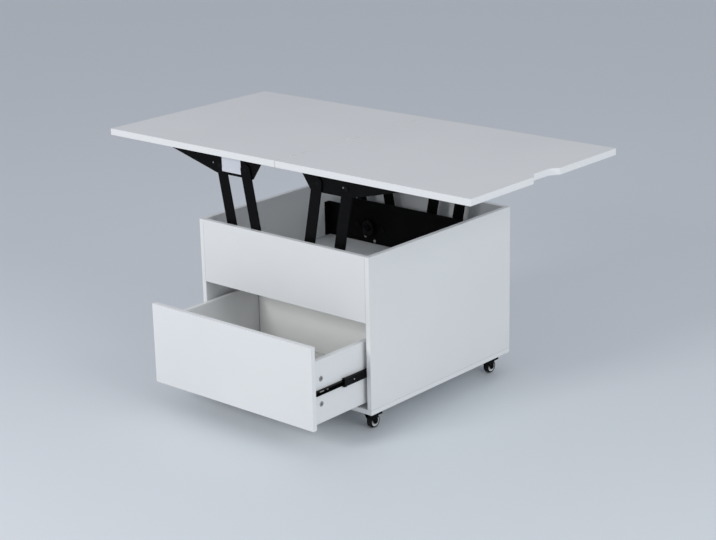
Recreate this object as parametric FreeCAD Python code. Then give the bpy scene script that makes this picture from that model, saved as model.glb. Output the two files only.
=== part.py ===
import FreeCAD, Part
import math
import os

# Convertible coffee and dining table. A white board cabinet on four swivel casters holds a drawer and an
# open storage box. Two sets of parallel arms, front and rear, carry a left top leaf and a right support
# frame outwards and up in mirror image, and a second leaf unfolds from the left leaf onto the support.
# Frame: millimetres, +Z up, origin on the floor under the middle of the cabinet, drawer towards -Y.
# The model stands open: top raised and unfolded, drawer part way out.

# Cabinet boards
body_width = 670.0
body_depth = 665.0
body_top_height = 530.0
board_thickness = 15.0
apron_height = 196.0
edge_round = 0.8

# Table top
table_height = 761.0
leaf_length = 700.0
leaf_width = 691.0
leaf_thickness = 20.0
leaf_corner_round = 2.0
leaf_edge_round = 1.0
seam_gap = 0.6
closed_gap = 0.5
notch_mouth = 125.0
notch_bottom = 70.0
notch_depth = 20.0
notch_round = 10.0

# Drawer
drawer_out = 225.7
drawer_side_gap = 3.0
drawer_top_gap = 9.0
drawer_bottom_gap = 5.5
drawer_box_lift = 11.0
drawer_box_drop = 48.5
drawer_side_length = 422.0
drawer_bottom_thickness = 5.0
drawer_bottom_lift = 12.0
groove_depth = 6.0
groove_gap = 0.2
cam_lock_radius = 7.0
cam_lock_depth = 9.0
cam_lock_setback = 32.0
cam_lock_offset_share = 0.2
cam_lock_slot_width = 2.0
cam_lock_slot_depth = 1.5

# Drawer slides, each with an outer, a middle and an inner steel channel
slide_width = 13.0
slide_length = 400.0
slide_setback = 20.0
slide_sheet = 1.2
slide_side_play = 0.6
outer_channel_height = 31.0
outer_ball_gap = 2.8
inner_ball_gap = 3.8
outer_lip_gap = 1.5
middle_lip_gap = 1.7
inner_lip_gap = 1.0
ball_strip_length = 100.0
ball_strip_width = 6.0
ball_strip_play = 0.3
slide_hole_radius = 2.6
slide_slot_length = 14.0
slide_slot_setback = 30.0
slide_hole_setback = 52.0
middle_hole_setback = 42.0

# Lift arms: flat steel bars between the base plates and the brackets under the top
arm_width = 38.0
arm_thickness = 4.0
arm_spacing = 108.0
inner_pivot_reach = 77.0
lift_offset = -14.6
top_pivot_drop = 37.5
pivot_radius = 5.0
pivot_head_radius = 7.5
pivot_head_height = 2.5
running_gap = 0.05
sleeve_radius = 8.0
sleeve_end_gap = 0.3
layer_gap = 0.8
apron_clearance = 2.0
rear_clearance = 55.4
rear_arm_setback = 26.0
sheet_thickness = 3.0

# Base plates that span the cabinet between the side panels
base_plate_lift = 3.0
base_pivot_lift = 52.0
base_plate_height = 111.0
base_plate_rise = 28.0
base_plate_rise_reach = 215.0
base_plate_shoulder = 40.0
base_plate_round = 8.0
end_flange_length = 20.0
end_screw_low = 28.0
end_screw_high = 83.0
screw_head_radius = 4.5
screw_head_height = 2.5
screw_shank_radius = 2.0
screw_shank_length = 13.0
fit_gap = 0.05
bolt_head_radius = 5.0
bolt_head_height = 3.0
bolt_shank_radius = 3.0
anchor_gaps = (8.4, 19.7)
anchor_degrees = (118.5, 64.4)

# Spring cups: on the outer base pivots at the front, between the inner and outer pivots at the rear
cup_shares = {"front": 1.0, "rear": 0.5}
cup_radius = 28.0
cup_height = 14.0
cup_round = 2.0
cup_boss_radius = 10.0
cup_boss_height = 3.0

# Gear train that turns the left and right arms together
pinion_teeth = 24
idler_teeth = 18
gear_width = 8.0
gear_face_gap = 0.4
gear_backlash = 0.3
gear_pressure_degrees = 20.0
addendum_share = 1.0
dedendum_share = 1.25
idler_head_height = 2.0

# Brackets under the leaves
bracket_inner_margin = 68.8
bracket_outer_setback = 230.0
bracket_low_inner_margin = 26.5
bracket_low_outer_margin = 14.0
bracket_height = 63.0
bracket_tip_height = 6.0
bracket_round = 4.0
bracket_end_round = 2.0
right_flange_width = 24.0
support_drop = 2.0
bracket_screw_shares = (0.107, 0.311, 0.566, 0.821)
rail_shares = (0.184, 0.872)
rail_width = 30.0
pad_radius = 8.0
pad_height = 1.5

# Seam hinges
hinge_places = (-250.0, 0.0, 250.0)
hinge_length = 60.0
hinge_depth = 15.0
hinge_sheet = 1.2
knuckle_radius = 2.2
hinge_pin_radius = 1.0
knuckle_gap = 0.2
knuckle_relief = 0.4
fold_gap = 1.0

# Casters
caster_side_inset = 36.0
caster_front_inset = 32.5
caster_rear_inset = 72.5
caster_plate_width = 70.0
caster_plate_depth = 40.0
caster_plate_thickness = 3.0
caster_plate_round = 6.0
caster_rim_thickness = 2.5
caster_screw_edge = 8.0
caster_screw_head_radius = 4.0
caster_screw_head_height = 1.8
race_radius = 14.0
race_height = 4.0
kingpin_radius = 4.0
kingpin_head_radius = 7.0
kingpin_head_height = 1.7
swivel_gap = 0.4
crown_thickness = 3.0
crown_front = 13.0
crown_rear = 24.0
cheek_thickness = 2.0
cheek_gap = 1.0
cheek_foot_radius = 7.0
cheek_foot_round = 6.0
cheek_top_round = 2.0
caster_trail = 16.0
wheel_radius = 20.0
wheel_top_gap = 5.5
wheel_width = 18.0
wheel_round = 3.0
axle_radius = 3.0
axle_head = 1.0
hub_radius = 15.5
hub_boss_radius = 6.0
hub_recess = 1.5

join_tolerance = 1e-6
overrun = 2.0

vec = FreeCAD.Vector
along_x = vec(1, 0, 0)
along_y = vec(0, 1, 0)
along_z = vec(0, 0, 1)
sides = {"left": -1, "right": 1}

# Sizes that follow from the driving dimensions
half_width = body_width / 2
half_depth = body_depth / 2
inner_half_width = half_width - board_thickness
inner_half_depth = half_depth - board_thickness
plate_and_race = caster_plate_thickness + race_height
fork_and_head = crown_thickness + 2 * swivel_gap + kingpin_head_height
caster_height = 2 * wheel_radius + wheel_top_gap + fork_and_head + plate_and_race
bottom_panel_top = caster_height + board_thickness
apron_bottom = body_top_height - apron_height
storage_floor_top = apron_bottom + board_thickness
plate_bottom = storage_floor_top + base_plate_lift
leaf_bottom = table_height - leaf_thickness
hinge_axis_height = table_height + fold_gap / 2

# Arms that carry a leaf from half a leaf off centre to centred on the cabinet: the outward run of an
# open arm follows from its having the same length open and closed
lift_travel = leaf_length / 2
lift_drop = leaf_bottom - body_top_height - closed_gap
base_pivot_height = plate_bottom + base_pivot_lift
top_pivot_height = leaf_bottom - top_pivot_drop
arm_rise = top_pivot_height - base_pivot_height
arm_run = (lift_travel ** 2 - lift_drop * (2 * arm_rise - lift_drop)) / (2 * lift_travel)
open_angle = math.atan2(arm_rise, arm_run)
closed_angle = math.atan2(arm_rise - lift_drop, arm_run - lift_travel)
outer_pivot_reach = inner_pivot_reach + arm_spacing
pivot_reaches = {"inner": inner_pivot_reach, "outer": outer_pivot_reach}

# Depths of the thin layers that pass each other behind the apron. The rear unit is their mirror image,
# with its arms and brackets set further off the plate
stack = [
    ("left_inner", arm_thickness),
    ("left_bracket", sheet_thickness),
    ("left_outer", arm_thickness),
    ("right_inner", arm_thickness),
    ("right_bracket", sheet_thickness),
    ("right_outer", arm_thickness),
    ("base", sheet_thickness),
]
front_layers = {}
layer_start = apron_clearance - inner_half_depth
for layer_name, layer_thickness in stack:
    front_layers[layer_name] = (layer_start, layer_start + layer_thickness)
    layer_start += layer_thickness + layer_gap
front_plate_face = front_layers["base"][1]
lift_middle = (apron_clearance - rear_clearance) / 2

# Gear sizes: pinion, two idlers and pinion fill the distance between the inner base pivots
gear_module = 2 * inner_pivot_reach / (pinion_teeth + 2 * idler_teeth)
idler_reach = gear_module * idler_teeth / 2
idler_places = {name: lift_offset + side * idler_reach for name, side in sides.items()}
gear_low = front_plate_face + gear_face_gap
gear_high = gear_low + gear_width


def outside_of(end, name):
    """Depth of the face of a layer that looks away from the storage box."""
    if end == "front":
        return front_layers[name][0]
    return 2 * lift_middle - front_layers[name][0] + (0 if name == "base" else rear_arm_setback)


def inside_of(end, name):
    """Depth of the face of a layer that looks towards the storage box."""
    return outside_of(end, name) + inward_of(end) * (front_layers[name][1] - front_layers[name][0])


def layer_of(end, name):
    """Lowest and highest depth of one layer of the front or rear unit."""
    return tuple(sorted((outside_of(end, name), inside_of(end, name))))


def inward_of(end):
    """Direction along Y from a base plate towards the storage box."""
    return 1 if end == "front" else -1


def base_pivot(side, which):
    """(x, z) of an arm's pivot on the base plate."""
    return lift_offset + side * pivot_reaches[which], base_pivot_height


def top_pivot(side, which):
    """(x, z) of an arm's pivot on the bracket."""
    return lift_offset + side * (pivot_reaches[which] + arm_run), top_pivot_height


def cup_centre(end, side):
    """(x, z) of a spring cup on the base plate."""
    return lift_offset + side * (inner_pivot_reach + cup_shares[end] * arm_spacing), base_pivot_height


def span_box(low, high, edge=0.0):
    """Box between two opposite corners, with every edge rounded where a radius is given."""
    size = [top - bottom for bottom, top in zip(low, high)]
    block = Part.makeBox(size[0], size[1], size[2], vec(*low))
    if edge > 0:
        block = block.makeFillet(edge, block.Edges)
    return block


def rod(start, end, radius):
    """Cylinder between the centres of its two end faces."""
    run = end - start
    return Part.makeCylinder(radius, run.Length, start, run)


def rod_y(x, z, radius, low, high):
    """Cylinder along Y between two depths."""
    return rod(vec(x, low, z), vec(x, high, z), radius)


def rounded_wire(corners, radii):
    """Closed outline of straight runs, with a tangent arc of the given radius at each corner."""
    count = len(corners)
    pieces = []
    for index, corner in enumerate(corners):
        to_last = (corners[index - 1] - corner).normalize()
        to_next = (corners[(index + 1) % count] - corner).normalize()
        half_angle = to_last.getAngle(to_next) / 2
        reach = radii[index] / math.tan(half_angle)
        bulge = radii[index] / math.sin(half_angle) - radii[index]
        bisector = (to_last + to_next).normalize()
        pieces.append((corner + to_last * reach, corner + bisector * bulge, corner + to_next * reach))
    edges = []
    for index, (arc_start, arc_middle, arc_end) in enumerate(pieces):
        if radii[index] > 0:
            edges.append(Part.Arc(arc_start, arc_middle, arc_end).toShape())
        next_start = pieces[(index + 1) % count][0]
        if (next_start - arc_end).Length > join_tolerance:
            edges.append(Part.LineSegment(arc_end, next_start).toShape())
    return Part.Wire(edges)


def upright_plate(corners, radii, low, high):
    """Plate of an (x, z) outline between two depths."""
    outline = rounded_wire([vec(x, low, z) for x, z in corners], radii)
    return Part.Face(outline).extrude(vec(0, high - low, 0))


def flat_plate(corners, radii, low, high):
    """Plate of an (x, y) outline between two heights."""
    outline = rounded_wire([vec(x, y, low) for x, y in corners], radii)
    return Part.Face(outline).extrude(vec(0, 0, high - low))


def fuse(first, others):
    """One solid of several that touch or overlap."""
    return first.fuse(others).removeSplitter()


def cut(shape, tools):
    """Shape with a list of tools taken out of it."""
    return shape.cut(tools) if tools else shape


def headed_screw(seat, direction, head_radius, head_height, shank_radius, shank_length):
    """Screw whose head stands on its seat and whose shank runs along the direction."""
    head = Part.makeCylinder(head_radius, head_height, seat, direction * -1)
    shank = Part.makeCylinder(shank_radius, shank_length, seat, direction)
    return fuse(head, [shank])


def screw_hole(seat, direction, shank_radius, shank_length):
    """Hole that takes a screw's shank."""
    return Part.makeCylinder(shank_radius + fit_gap, shank_length + fit_gap, seat, direction)


nodes = {}


# Base plates: bent sheets with end flanges screwed to the side panels
plate_end_top = plate_bottom + base_plate_height
plate_middle_top = plate_end_top + base_plate_rise
shoulder_reach = base_plate_rise_reach + base_plate_shoulder
side_screw_seats = []
plate_bolt_seats = []


def base_plate(end):
    """Upright plate across the cabinet, higher in the middle, with holes for the pivots and bolts."""
    low, high = layer_of(end, "base")
    outline = [
        (-inner_half_width, plate_bottom),
        (inner_half_width, plate_bottom),
        (inner_half_width, plate_end_top),
        (shoulder_reach, plate_end_top),
        (base_plate_rise_reach, plate_middle_top),
        (-base_plate_rise_reach, plate_middle_top),
        (-shoulder_reach, plate_end_top),
        (-inner_half_width, plate_end_top),
    ]
    radii = [0, 0, 0] + [base_plate_round] * 4 + [0]
    sheet = upright_plate(outline, radii, low, high)
    face = inside_of(end, "base")
    flange_end = face + inward_of(end) * end_flange_length
    flange_low, flange_high = sorted((outside_of(end, "base"), flange_end))
    flanges = []
    holes = []
    for side in sides.values():
        x_low, x_high = sorted((side * inner_half_width, side * (inner_half_width - sheet_thickness)))
        flanges.append(span_box((x_low, flange_low, plate_bottom), (x_high, flange_high, plate_end_top)))
        for lift in (end_screw_low, end_screw_high):
            seat_depth = (face + flange_end) / 2
            seat = vec(side * (inner_half_width - sheet_thickness), seat_depth, plate_bottom + lift)
            side_screw_seats.append((seat, along_x * side))
            holes.append(screw_hole(seat, along_x * side, screw_shank_radius, screw_shank_length))
        for which in pivot_reaches:
            x, z = base_pivot(side, which)
            holes.append(rod_y(x, z, pivot_radius + running_gap, low, high))
        cup_x, cup_z = cup_centre(end, side)
        for gap, degrees in zip(anchor_gaps, anchor_degrees):
            run = (cup_radius + gap) * math.cos(math.radians(degrees))
            drop = (cup_radius + gap) * math.sin(math.radians(degrees))
            seat = vec(cup_x - side * run, face, cup_z - drop)
            plate_bolt_seats.append((seat, along_y * -inward_of(end)))
            holes.append(screw_hole(seat, along_y * -inward_of(end), bolt_shank_radius, sheet_thickness))
    if end == "front":
        for idler_x in idler_places.values():
            holes.append(rod_y(idler_x, base_pivot_height, pivot_radius + running_gap, low, high))
    return cut(fuse(sheet, flanges), holes)


for end in ("front", "rear"):
    nodes[end + "_base_plate"] = base_plate(end)

base_screws = []
for seat, direction in side_screw_seats:
    base_screws.append(headed_screw(seat, direction, screw_head_radius, screw_head_height,
                                    screw_shank_radius, screw_shank_length))
for seat, direction in plate_bolt_seats:
    base_screws.append(headed_screw(seat, direction, bolt_head_radius, bolt_head_height,
                                    bolt_shank_radius, sheet_thickness))
nodes["base_screws"] = Part.makeCompound(base_screws)


# Cabinet panels
def side_panel(side):
    """Upright side board on the bottom panel, with pilot holes for the base plate screws."""
    x_low, x_high = sorted((side * inner_half_width, side * half_width))
    board = span_box((x_low, -half_depth, bottom_panel_top), (x_high, half_depth, body_top_height),
                     edge_round)
    seats = [seat for seat, direction in side_screw_seats if direction.x == side]
    holes = [screw_hole(seat, along_x * side, screw_shank_radius, screw_shank_length) for seat in seats]
    return cut(board, holes)


def crosswise_panel(y_low, y_high, bottom, top):
    """Board between the two side panels."""
    return span_box((-inner_half_width, y_low, bottom), (inner_half_width, y_high, top), edge_round)


caster_places = {}
for side_name, side in sides.items():
    swivel_x = side * (half_width - caster_side_inset)
    caster_places["front_" + side_name] = (swivel_x, caster_front_inset - half_depth)
    caster_places["rear_" + side_name] = (swivel_x, half_depth - caster_rear_inset)

plate_bottom_face = caster_height - caster_plate_thickness
caster_screw_seats = []
for swivel_x, swivel_y in caster_places.values():
    for x_sign in (-1, 1):
        for y_sign in (-1, 1):
            screw_x = swivel_x + x_sign * (caster_plate_width / 2 - caster_screw_edge)
            screw_y = swivel_y + y_sign * (caster_plate_depth / 2 - caster_screw_edge)
            caster_screw_seats.append(vec(screw_x, screw_y, plate_bottom_face))
caster_holes = [screw_hole(seat, along_z, screw_shank_radius, screw_shank_length)
                for seat in caster_screw_seats]

bottom_board = span_box((-half_width, -half_depth, caster_height), (half_width, half_depth, bottom_panel_top),
                        edge_round)
nodes["bottom_panel"] = cut(bottom_board, caster_holes)
for side_name, side in sides.items():
    nodes[side_name + "_side_panel"] = side_panel(side)
nodes["front_apron"] = crosswise_panel(-half_depth, -inner_half_depth, apron_bottom, body_top_height)
nodes["back_panel"] = crosswise_panel(inner_half_depth, half_depth, bottom_panel_top, body_top_height)
nodes["storage_floor"] = crosswise_panel(-inner_half_depth, inner_half_depth, apron_bottom, storage_floor_top)


# Drawer: front, sides, back and a thin bottom held in grooves
drawer_face = -half_depth - drawer_out
drawer_front_back = drawer_face + board_thickness
drawer_half_width = inner_half_width - drawer_side_gap
drawer_low = bottom_panel_top + drawer_bottom_gap
drawer_high = apron_bottom - drawer_top_gap
box_half_width = inner_half_width - slide_width
box_inner_half_width = box_half_width - board_thickness
box_low = drawer_low + drawer_box_lift
box_high = drawer_high - drawer_box_drop
box_end = drawer_front_back + drawer_side_length
box_inner_end = box_end - board_thickness
slide_middle_height = (box_low + box_high) / 2
sheet_low = box_low + drawer_bottom_lift
sheet_high = sheet_low + drawer_bottom_thickness
sheet_half_width = box_inner_half_width + groove_depth - groove_gap
sheet_front = drawer_front_back - groove_depth + groove_gap
sheet_end = box_inner_end + groove_depth - groove_gap

drawer_sheet = span_box((-sheet_half_width, sheet_front, sheet_low),
                        (sheet_half_width, sheet_end, sheet_high))
groove_low = (-sheet_half_width - groove_gap, sheet_front - groove_gap, sheet_low - groove_gap)
groove_high = (sheet_half_width + groove_gap, sheet_end + groove_gap, sheet_high + groove_gap)
bottom_groove = span_box(groove_low, groove_high)

front_board = span_box((-drawer_half_width, drawer_face, drawer_low),
                       (drawer_half_width, drawer_front_back, drawer_high), edge_round)
back_board = span_box((-box_inner_half_width, box_inner_end, box_low),
                      (box_inner_half_width, box_end, box_high), edge_round)
cam_lock_offset = cam_lock_offset_share * (box_high - box_low)
cam_seats = []
for side in sides.values():
    for offset in (-cam_lock_offset, cam_lock_offset):
        cam_seats.append((side, vec(side * box_half_width, drawer_front_back + cam_lock_setback,
                                    slide_middle_height + offset)))


def cam_lock(side, seat):
    """Round cam lock let into the drawer side, flush with its outer face, with a crossed driver slot."""
    barrel = Part.makeCylinder(cam_lock_radius, cam_lock_depth, seat, along_x * -side)
    slots = []
    for half_y, half_z in ((cam_lock_radius, cam_lock_slot_width), (cam_lock_slot_width, cam_lock_radius)):
        x_low, x_high = sorted((seat.x - side * cam_lock_slot_depth, seat.x + side * overrun))
        low = (x_low, seat.y - half_y / 2, seat.z - half_z / 2)
        high = (x_high, seat.y + half_y / 2, seat.z + half_z / 2)
        slots.append(span_box(low, high))
    return cut(barrel, slots)


def drawer_side(side):
    """Side board of the drawer box with its bottom groove and cam lock bores."""
    x_low, x_high = sorted((side * box_inner_half_width, side * box_half_width))
    board = span_box((x_low, drawer_front_back, box_low), (x_high, box_end, box_high), edge_round)
    tools = [bottom_groove]
    for seat_side, seat in cam_seats:
        if seat_side == side:
            tools.append(Part.makeCylinder(cam_lock_radius + fit_gap, cam_lock_depth + fit_gap, seat,
                                           along_x * -side))
    return cut(board, tools)


nodes["drawer_front"] = cut(front_board, [bottom_groove])
nodes["drawer_back"] = cut(back_board, [bottom_groove])
nodes["drawer_bottom"] = drawer_sheet
for side_name, side in sides.items():
    nodes["drawer_" + side_name + "_side"] = drawer_side(side)
nodes["drawer_cam_locks"] = Part.makeCompound([cam_lock(side, seat) for side, seat in cam_seats])


# Drawer slides: three nested channels, the middle one moving half as far as the drawer
slide_start = slide_setback - half_depth
outer_web = inner_half_width
middle_web = outer_web - slide_sheet - slide_side_play
inner_web = box_half_width
middle_channel_height = outer_channel_height - 2 * (slide_sheet + outer_ball_gap)
inner_channel_height = middle_channel_height - 2 * (slide_sheet + inner_ball_gap)
outer_channel_depth = slide_width - outer_lip_gap
middle_channel_depth = slide_width - slide_sheet - slide_side_play - middle_lip_gap
inner_channel_depth = slide_width - 2 * slide_sheet - slide_side_play - inner_lip_gap


def channel(side, web, depth, height, start):
    """Channel section along the slide: a web at a distance from the middle and two flanges."""
    x_low, x_high = sorted((side * web, side * (web + depth)))
    z_low = slide_middle_height - height / 2
    z_high = slide_middle_height + height / 2
    shell = span_box((x_low, start, z_low), (x_high, start + slide_length, z_high))
    web_inside = web + math.copysign(slide_sheet, depth)
    x_low, x_high = sorted((side * web_inside, side * (web + depth + math.copysign(overrun, depth))))
    hollow = span_box((x_low, start - overrun, z_low + slide_sheet),
                      (x_high, start + slide_length + overrun, z_high - slide_sheet))
    return shell.cut(hollow)


def ball_strip(side, x_from, start, near, far):
    """Pair of ball strips above and below the middle of a slide, between two distances from it."""
    x_low, x_high = sorted((side * x_from, side * (x_from - ball_strip_width)))
    strips = []
    for sign in (-1, 1):
        z_low, z_high = sorted((slide_middle_height + sign * near, slide_middle_height + sign * far))
        strips.append(span_box((x_low, start, z_low), (x_high, start + ball_strip_length, z_high)))
    return strips


def web_hole(side, web, depth, setback, start, length=0.0):
    """Round hole, or a slot of the given length, through a channel's web."""
    x_low, x_high = sorted((side * (web - depth), side * (web + depth)))
    ends = (start + setback - length / 2, start + setback + length / 2)
    holes = []
    for y in sorted(set(ends)):
        holes.append(rod(vec(x_low, y, slide_middle_height), vec(x_high, y, slide_middle_height),
                         slide_hole_radius))
    if length > 0:
        holes.append(span_box((x_low, ends[0], slide_middle_height - slide_hole_radius),
                              (x_high, ends[1], slide_middle_height + slide_hole_radius)))
    return holes


middle_start = slide_start - drawer_out / 2
inner_start = slide_start - drawer_out
strip_x = middle_web - slide_sheet
for side_name, side in sides.items():
    outer = channel(side, outer_web, -outer_channel_depth, outer_channel_height, slide_start)
    nodes[side_name + "_slide_outer"] = outer
    middle = channel(side, middle_web, -middle_channel_depth, middle_channel_height, middle_start)
    outer_gap_end = outer_channel_height / 2 - slide_sheet - ball_strip_play
    strips = ball_strip(side, strip_x, middle_start + slide_length - ball_strip_length,
                        middle_channel_height / 2, outer_gap_end)
    strips += ball_strip(side, strip_x, middle_start, inner_channel_height / 2 + ball_strip_play,
                         middle_channel_height / 2 - slide_sheet)
    middle_holes = web_hole(side, middle_web, 2 * slide_sheet, middle_hole_setback, middle_start)
    nodes[side_name + "_slide_middle"] = cut(fuse(middle, strips), middle_holes)
    inner = channel(side, inner_web, inner_channel_depth, inner_channel_height, inner_start)
    inner_holes = web_hole(side, inner_web, 2 * slide_sheet, slide_slot_setback, inner_start,
                           slide_slot_length)
    inner_holes += web_hole(side, inner_web, 2 * slide_sheet, slide_hole_setback, inner_start)
    nodes[side_name + "_slide_inner"] = cut(inner, inner_holes)


# Lift arms: round-ended bars that lean outwards in the open pose
def lift_arm(end, side_name, which):
    """One bar with a hole at each pivot."""
    side = sides[side_name]
    low, high = layer_of(end, side_name + "_" + which)
    base = vec(base_pivot(side, which)[0], low, base_pivot_height)
    top = vec(top_pivot(side, which)[0], low, top_pivot_height)
    lengthwise = (top - base).normalize()
    across = lengthwise.cross(along_y) * (arm_width / 2)
    past = lengthwise * (arm_width / 2)
    corners = [base - past - across, base - past + across, top + past + across, top + past - across]
    bar = Part.Face(rounded_wire(corners, [arm_width / 2] * 4)).extrude(vec(0, high - low, 0))
    holes = [rod_y(point.x, point.z, pivot_radius + running_gap, low, high) for point in (base, top)]
    return cut(bar, holes)


for side_name in sides:
    for which in pivot_reaches:
        for end in ("front", "rear"):
            nodes["{}_{}_{}_arm".format(end, side_name, which)] = lift_arm(end, side_name, which)


# Base pivots: fixed pins with spacer sleeves, and shafts for the two arms that carry pinions
base_pins = []
sleeves = []
for side_name, side in sides.items():
    for which in pivot_reaches:
        x, z = base_pivot(side, which)
        for end in ("front", "rear"):
            arm_face = outside_of(end, side_name + "_" + which)
            arm_back = inside_of(end, side_name + "_" + which)
            plate_front = outside_of(end, "base")
            plate_face = inside_of(end, "base")
            geared = end == "front" and which == "inner"
            if not geared:
                pin = rod_y(x, z, pivot_radius, arm_face, plate_face)
                if which == "inner" or end == "rear":
                    head_end = plate_face + inward_of(end) * pivot_head_height
                    pin = fuse(pin, [rod_y(x, z, pivot_head_radius, plate_face, head_end)])
                base_pins.append(pin)
            if (end, side_name, which) != ("front", "right", "outer"):
                sleeve_start = arm_back + inward_of(end) * sleeve_end_gap
                tube = rod_y(x, z, sleeve_radius, sleeve_start, plate_front)
                sleeves.append(tube.cut(rod_y(x, z, pivot_radius + running_gap, sleeve_start, plate_front)))
for idler_x in idler_places.values():
    pin_end = gear_high + sleeve_end_gap
    pin = rod_y(idler_x, base_pivot_height, pivot_radius, front_layers["base"][0], pin_end)
    head_end = pin_end + idler_head_height
    head = rod_y(idler_x, base_pivot_height, pivot_head_radius, pin_end, head_end)
    base_pins.append(fuse(pin, [head]))
nodes["base_pivot_pins"] = Part.makeCompound(base_pins)
nodes["base_pivot_sleeves"] = Part.makeCompound(sleeves)


# Spring cups on the storage side of the base plates
def spring_cup(end, side):
    """Shallow round cup with a raised boss, seated on the base plate."""
    x, z = cup_centre(end, side)
    face = inside_of(end, "base")
    rim = face + inward_of(end) * cup_height
    drum = rod_y(x, z, cup_radius, face, rim)
    rim_edges = [edge for edge in drum.Edges
                 if edge.Closed and abs(edge.CenterOfMass.y - rim) < join_tolerance]
    drum = drum.makeFillet(cup_round, rim_edges)
    boss = rod_y(x, z, cup_boss_radius, rim, rim + inward_of(end) * cup_boss_height)
    return fuse(drum, [boss])


cups = [spring_cup(end, side) for end in ("front", "rear") for side in sides.values()]
nodes["spring_cups"] = Part.makeCompound(cups)


# Gears: spur teeth whose flanks follow the involute through a few points
def involute(angle):
    """Involute function of a pressure angle."""
    return math.tan(angle) - angle


def gear_disc(teeth, first_tooth, x):
    """Spur gear about an axis along Y, with the first tooth at the given angle from +X towards +Z."""
    pitch_radius = gear_module * teeth / 2
    pressure = math.radians(gear_pressure_degrees)
    base_radius = pitch_radius * math.cos(pressure)
    root_radius = pitch_radius - dedendum_share * gear_module
    tip_radius = pitch_radius + addendum_share * gear_module
    half_tooth = math.pi / (2 * teeth) - gear_backlash / (4 * pitch_radius)
    flank = []
    for radius in (root_radius, base_radius, pitch_radius, tip_radius):
        slant = math.acos(min(1, base_radius / radius))
        flank.append((radius, half_tooth + involute(pressure) - involute(slant)))
    corners = []
    for tooth in range(teeth):
        centre = first_tooth + 2 * math.pi * tooth / teeth
        for radius, half in flank:
            corners.append((radius, centre - half))
        for radius, half in reversed(flank):
            corners.append((radius, centre + half))
    points = [vec(x + r * math.cos(a), gear_low, base_pivot_height + r * math.sin(a)) for r, a in corners]
    outline = Part.makePolygon(points + points[:1])
    return Part.Face(outline).extrude(vec(0, gear_high - gear_low, 0))


half_pinion_pitch = math.pi / pinion_teeth
half_idler_pitch = math.pi / idler_teeth
first_teeth = {"left": (0, half_idler_pitch), "right": (half_pinion_pitch, 0)}
for side_name, side in sides.items():
    pinion_start, idler_start = first_teeth[side_name]
    pinion_x = base_pivot(side, "inner")[0]
    shaft_face = front_layers[side_name + "_inner"][0]
    shaft = rod_y(pinion_x, base_pivot_height, pivot_radius, shaft_face, gear_high)
    nodes[side_name + "_pinion_shaft"] = fuse(gear_disc(pinion_teeth, pinion_start, pinion_x), [shaft])
    idler_x = idler_places[side_name]
    bore = rod_y(idler_x, base_pivot_height, pivot_radius + running_gap, gear_low, gear_high)
    nodes[side_name + "_idler_gear"] = gear_disc(idler_teeth, idler_start, idler_x).cut(bore)


# Brackets under the top: the left pair is screwed to the left leaf, the right pair is a support frame.
# Screws and rails are spread over the stretch of a bracket that lies under its own leaf
bracket_tops = {"left": leaf_bottom, "right": leaf_bottom - support_drop}
bracket_inner_reach = inner_pivot_reach + arm_run - bracket_inner_margin
bracket_low_inner_reach = inner_pivot_reach + arm_run - bracket_low_inner_margin
bracket_low_outer_reach = outer_pivot_reach + arm_run + bracket_low_outer_margin
bracket_outer_reach = leaf_length - bracket_outer_setback
bracket_hold_start = max(bracket_inner_reach, seam_gap - lift_offset)
bracket_span = bracket_outer_reach - bracket_hold_start


def bracket_flange(end, side_name):
    """Lowest and highest depth of a bracket's top flange, web included."""
    if side_name == "left":
        flange_end = inside_of(end, "right_inner")
    else:
        flange_end = inside_of(end, "right_bracket") + inward_of(end) * right_flange_width
    return tuple(sorted((outside_of(end, side_name + "_bracket"), flange_end)))


def bracket(end, side_name):
    """Bent sheet: a tapered upright web with pivot holes and a flat flange along its top."""
    side = sides[side_name]
    top = bracket_tops[side_name]
    low, high = layer_of(end, side_name + "_bracket")
    inner_end = lift_offset + side * bracket_inner_reach
    outer_end = lift_offset + side * bracket_outer_reach
    outline = [
        (inner_end, top),
        (outer_end, top),
        (outer_end, top - bracket_tip_height),
        (lift_offset + side * bracket_low_outer_reach, leaf_bottom - bracket_height),
        (lift_offset + side * bracket_low_inner_reach, leaf_bottom - bracket_height),
    ]
    radii = [0, 0, bracket_end_round, bracket_round, bracket_round]
    web = upright_plate(outline, radii, low, high)
    flange_low, flange_high = bracket_flange(end, side_name)
    x_low, x_high = sorted((inner_end, outer_end))
    flange = span_box((x_low, flange_low, top - sheet_thickness), (x_high, flange_high, top))
    holes = []
    for which in pivot_reaches:
        x, z = top_pivot(side, which)
        holes.append(rod_y(x, z, pivot_radius + running_gap, low, high))
    for seat in bracket_screw_seats:
        holes.append(screw_hole(seat, along_z, screw_shank_radius, screw_shank_length))
    return cut(fuse(web, [flange]), holes)


bracket_screw_seats = []
for end in ("front", "rear"):
    seat_depth = (inside_of(end, "left_bracket") + inside_of(end, "right_inner")) / 2
    for share in bracket_screw_shares:
        reach = bracket_hold_start + share * bracket_span
        bracket_screw_seats.append(vec(lift_offset - reach, seat_depth, leaf_bottom - sheet_thickness))
for end in ("front", "rear"):
    for side_name in sides:
        nodes["{}_{}_bracket".format(end, side_name)] = bracket(end, side_name)
nodes["left_bracket_screws"] = Part.makeCompound([
    headed_screw(seat, along_z, screw_head_radius, screw_head_height, screw_shank_radius, screw_shank_length)
    for seat in bracket_screw_seats])

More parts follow.
